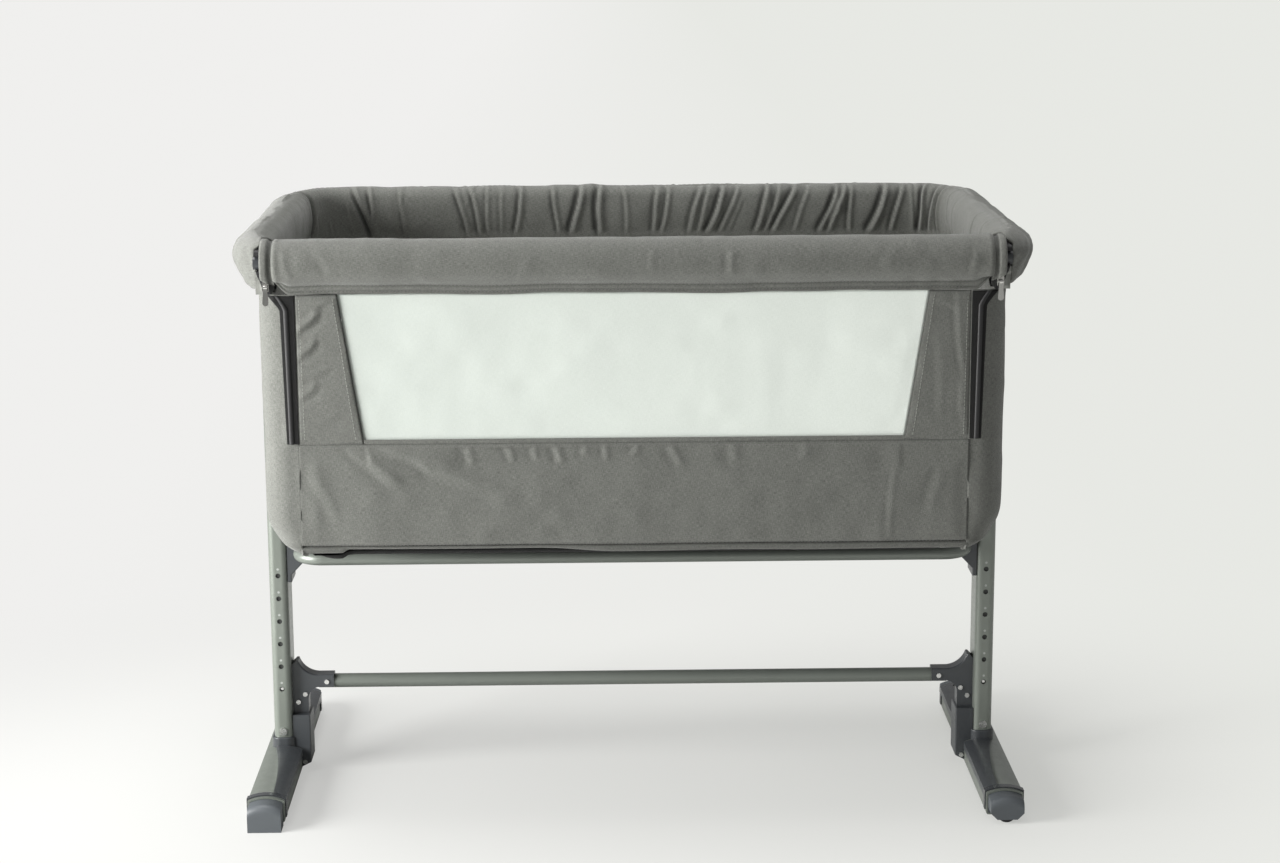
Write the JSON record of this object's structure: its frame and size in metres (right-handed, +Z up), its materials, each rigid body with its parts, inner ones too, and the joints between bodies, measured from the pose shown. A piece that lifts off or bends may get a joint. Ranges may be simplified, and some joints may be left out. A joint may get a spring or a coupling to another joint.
{
  "type": "bedside sleeper crib",
  "caption": "Bedside sleeper crib: padded cloth basket on a height-adjustable tube stand, with a front side that unzips and folds down.",
  "frame": {"origin": "on the floor under the middle of the crib", "axes": "+X along the crib's length (to the right seen from the fold-down side), +Y away from the fold-down front side, +Z up"},
  "size_m": [0.9482, 0.563, 0.7235],
  "materials": {
    "grey_paint": "satin grey paint on steel tube",
    "rail_steel": "satin grey paint on steel tube",
    "cap_plastic": "moulded blue-grey plastic",
    "dark_plastic": "moulded near-black plastic",
    "wheel_rubber": "black tread",
    "bright_steel": "bright zinc",
    "grey_cloth": "heathered grey woven cloth",
    "white_mesh": "pale quilted window cloth",
    "zip_metal": "nickel plated",
    "zip_tape": "black woven tape",
    "board": "pressed board",
    "mattress_cloth": "white quilted cotton"
  },
  "bodies": {
    "stand": {"foot_tube_left": "grey_paint", "foot_tube_right": "grey_paint", "foot_cap_front_left": "cap_plastic", "foot_cap_rear_left": "cap_plastic", "wheel_housing_front_right": "cap_plastic", "wheel_housing_rear_right": "cap_plastic", "foot_end_rings": "dark_plastic", "wheel_axles": "bright_steel", "foot_socket_left": "dark_plastic", "foot_socket_right": "dark_plastic", "upright_left": "grey_paint", "upright_right": "grey_paint", "upright_guides": "dark_plastic", "upright_bolts": "bright_steel", "lower_crossbar": "grey_paint", "crossbar_gusset_left": "dark_plastic", "crossbar_gusset_right": "dark_plastic", "socket_screws": "bright_steel", "base_loop_front": "grey_paint", "base_loop_rear": "grey_paint", "loop_bracket_left": "dark_plastic", "loop_bracket_right": "dark_plastic"},
    "basket": {"inner_tube_left": "grey_paint", "inner_tube_right": "grey_paint", "rail_tube_left": "rail_steel", "rail_tube_right": "rail_steel", "rail_tube_rear": "rail_steel", "rail_cover_left": "grey_cloth", "rail_cover_right": "grey_cloth", "rail_cover_rear": "grey_cloth", "rail_clip_left": "dark_plastic", "rail_clip_right": "dark_plastic", "end_panel_left": "grey_cloth", "end_panel_right": "grey_cloth", "front_band": "grey_cloth", "rear_band": "grey_cloth", "bottom_panel": "grey_cloth", "rear_panel_left": "grey_cloth", "rear_panel_right": "grey_cloth", "rear_window": "white_mesh", "base_board": "board", "mattress": "mattress_cloth", "zip_tapes": "zip_tape", "button_springs": "bright_steel"},
    "drop_side": {"front_rail_tube": "rail_steel", "front_rail_cover": "grey_cloth", "front_panel_left": "grey_cloth", "front_panel_right": "grey_cloth", "front_window": "white_mesh", "rail_plug_left": "dark_plastic", "rail_plug_right": "dark_plastic"},
    "wheel_front": {"wheel_front_right": "wheel_rubber"},
    "wheel_rear": {"wheel_rear_right": "wheel_rubber"},
    "snap_button_left": {"snap_button_left": "bright_steel"},
    "zip_slider_left": {"zip_slider_left": "zip_metal"},
    "zip_pull_left": {"zip_pull_left": "zip_metal"},
    "snap_button_right": {"snap_button_right": "bright_steel"},
    "zip_slider_right": {"zip_slider_right": "zip_metal"},
    "zip_pull_right": {"zip_pull_right": "zip_metal"}
  },
  "joints": [
    {"name": "basket_height", "type": "slide", "parent": "stand", "child": "basket", "axis": [0, 0, 1], "range_m": [0, 0.15]},
    {"name": "front_fold", "type": "hinge", "parent": "basket", "child": "drop_side", "pos_m": [0, -0.2628, 0.484], "axis": [1, 0, 0], "range_deg": [0, 175]},
    {"name": "zip_left_travel", "type": "slide", "parent": "basket", "child": "zip_slider_left", "axis": [0.1291, -0.0645, -0.9895], "range_m": [0, 0.186]},
    {"name": "zip_left_pull", "type": "hinge", "parent": "zip_slider_left", "child": "zip_pull_left", "pos_m": [-0.422, -0.2667, 0.67], "axis": [-1, 0, 0], "range_deg": [0, 120]},
    {"name": "button_left", "type": "slide", "parent": "basket", "child": "snap_button_left", "axis": [0, -1, 0], "range_m": [0, 0.0045], "stiffness_N_per_m": 300},
    {"name": "zip_right_travel", "type": "slide", "parent": "basket", "child": "zip_slider_right", "axis": [-0.1291, -0.0645, -0.9895], "range_m": [0, 0.186]},
    {"name": "zip_right_pull", "type": "hinge", "parent": "zip_slider_right", "child": "zip_pull_right", "pos_m": [0.422, -0.2667, 0.67], "axis": [-1, 0, 0], "range_deg": [0, 120]},
    {"name": "button_right", "type": "slide", "parent": "basket", "child": "snap_button_right", "axis": [0, -1, 0], "range_m": [0, 0.0045], "stiffness_N_per_m": 300},
    {"name": "wheel_front_roll", "type": "hinge", "parent": "stand", "child": "wheel_front", "pos_m": [0.45, -0.2275, 0.0115], "axis": [0, 1, 0], "continuous": true},
    {"name": "wheel_rear_roll", "type": "hinge", "parent": "stand", "child": "wheel_rear", "pos_m": [0.45, 0.2275, 0.0115], "axis": [0, 1, 0], "continuous": true}
  ]
}
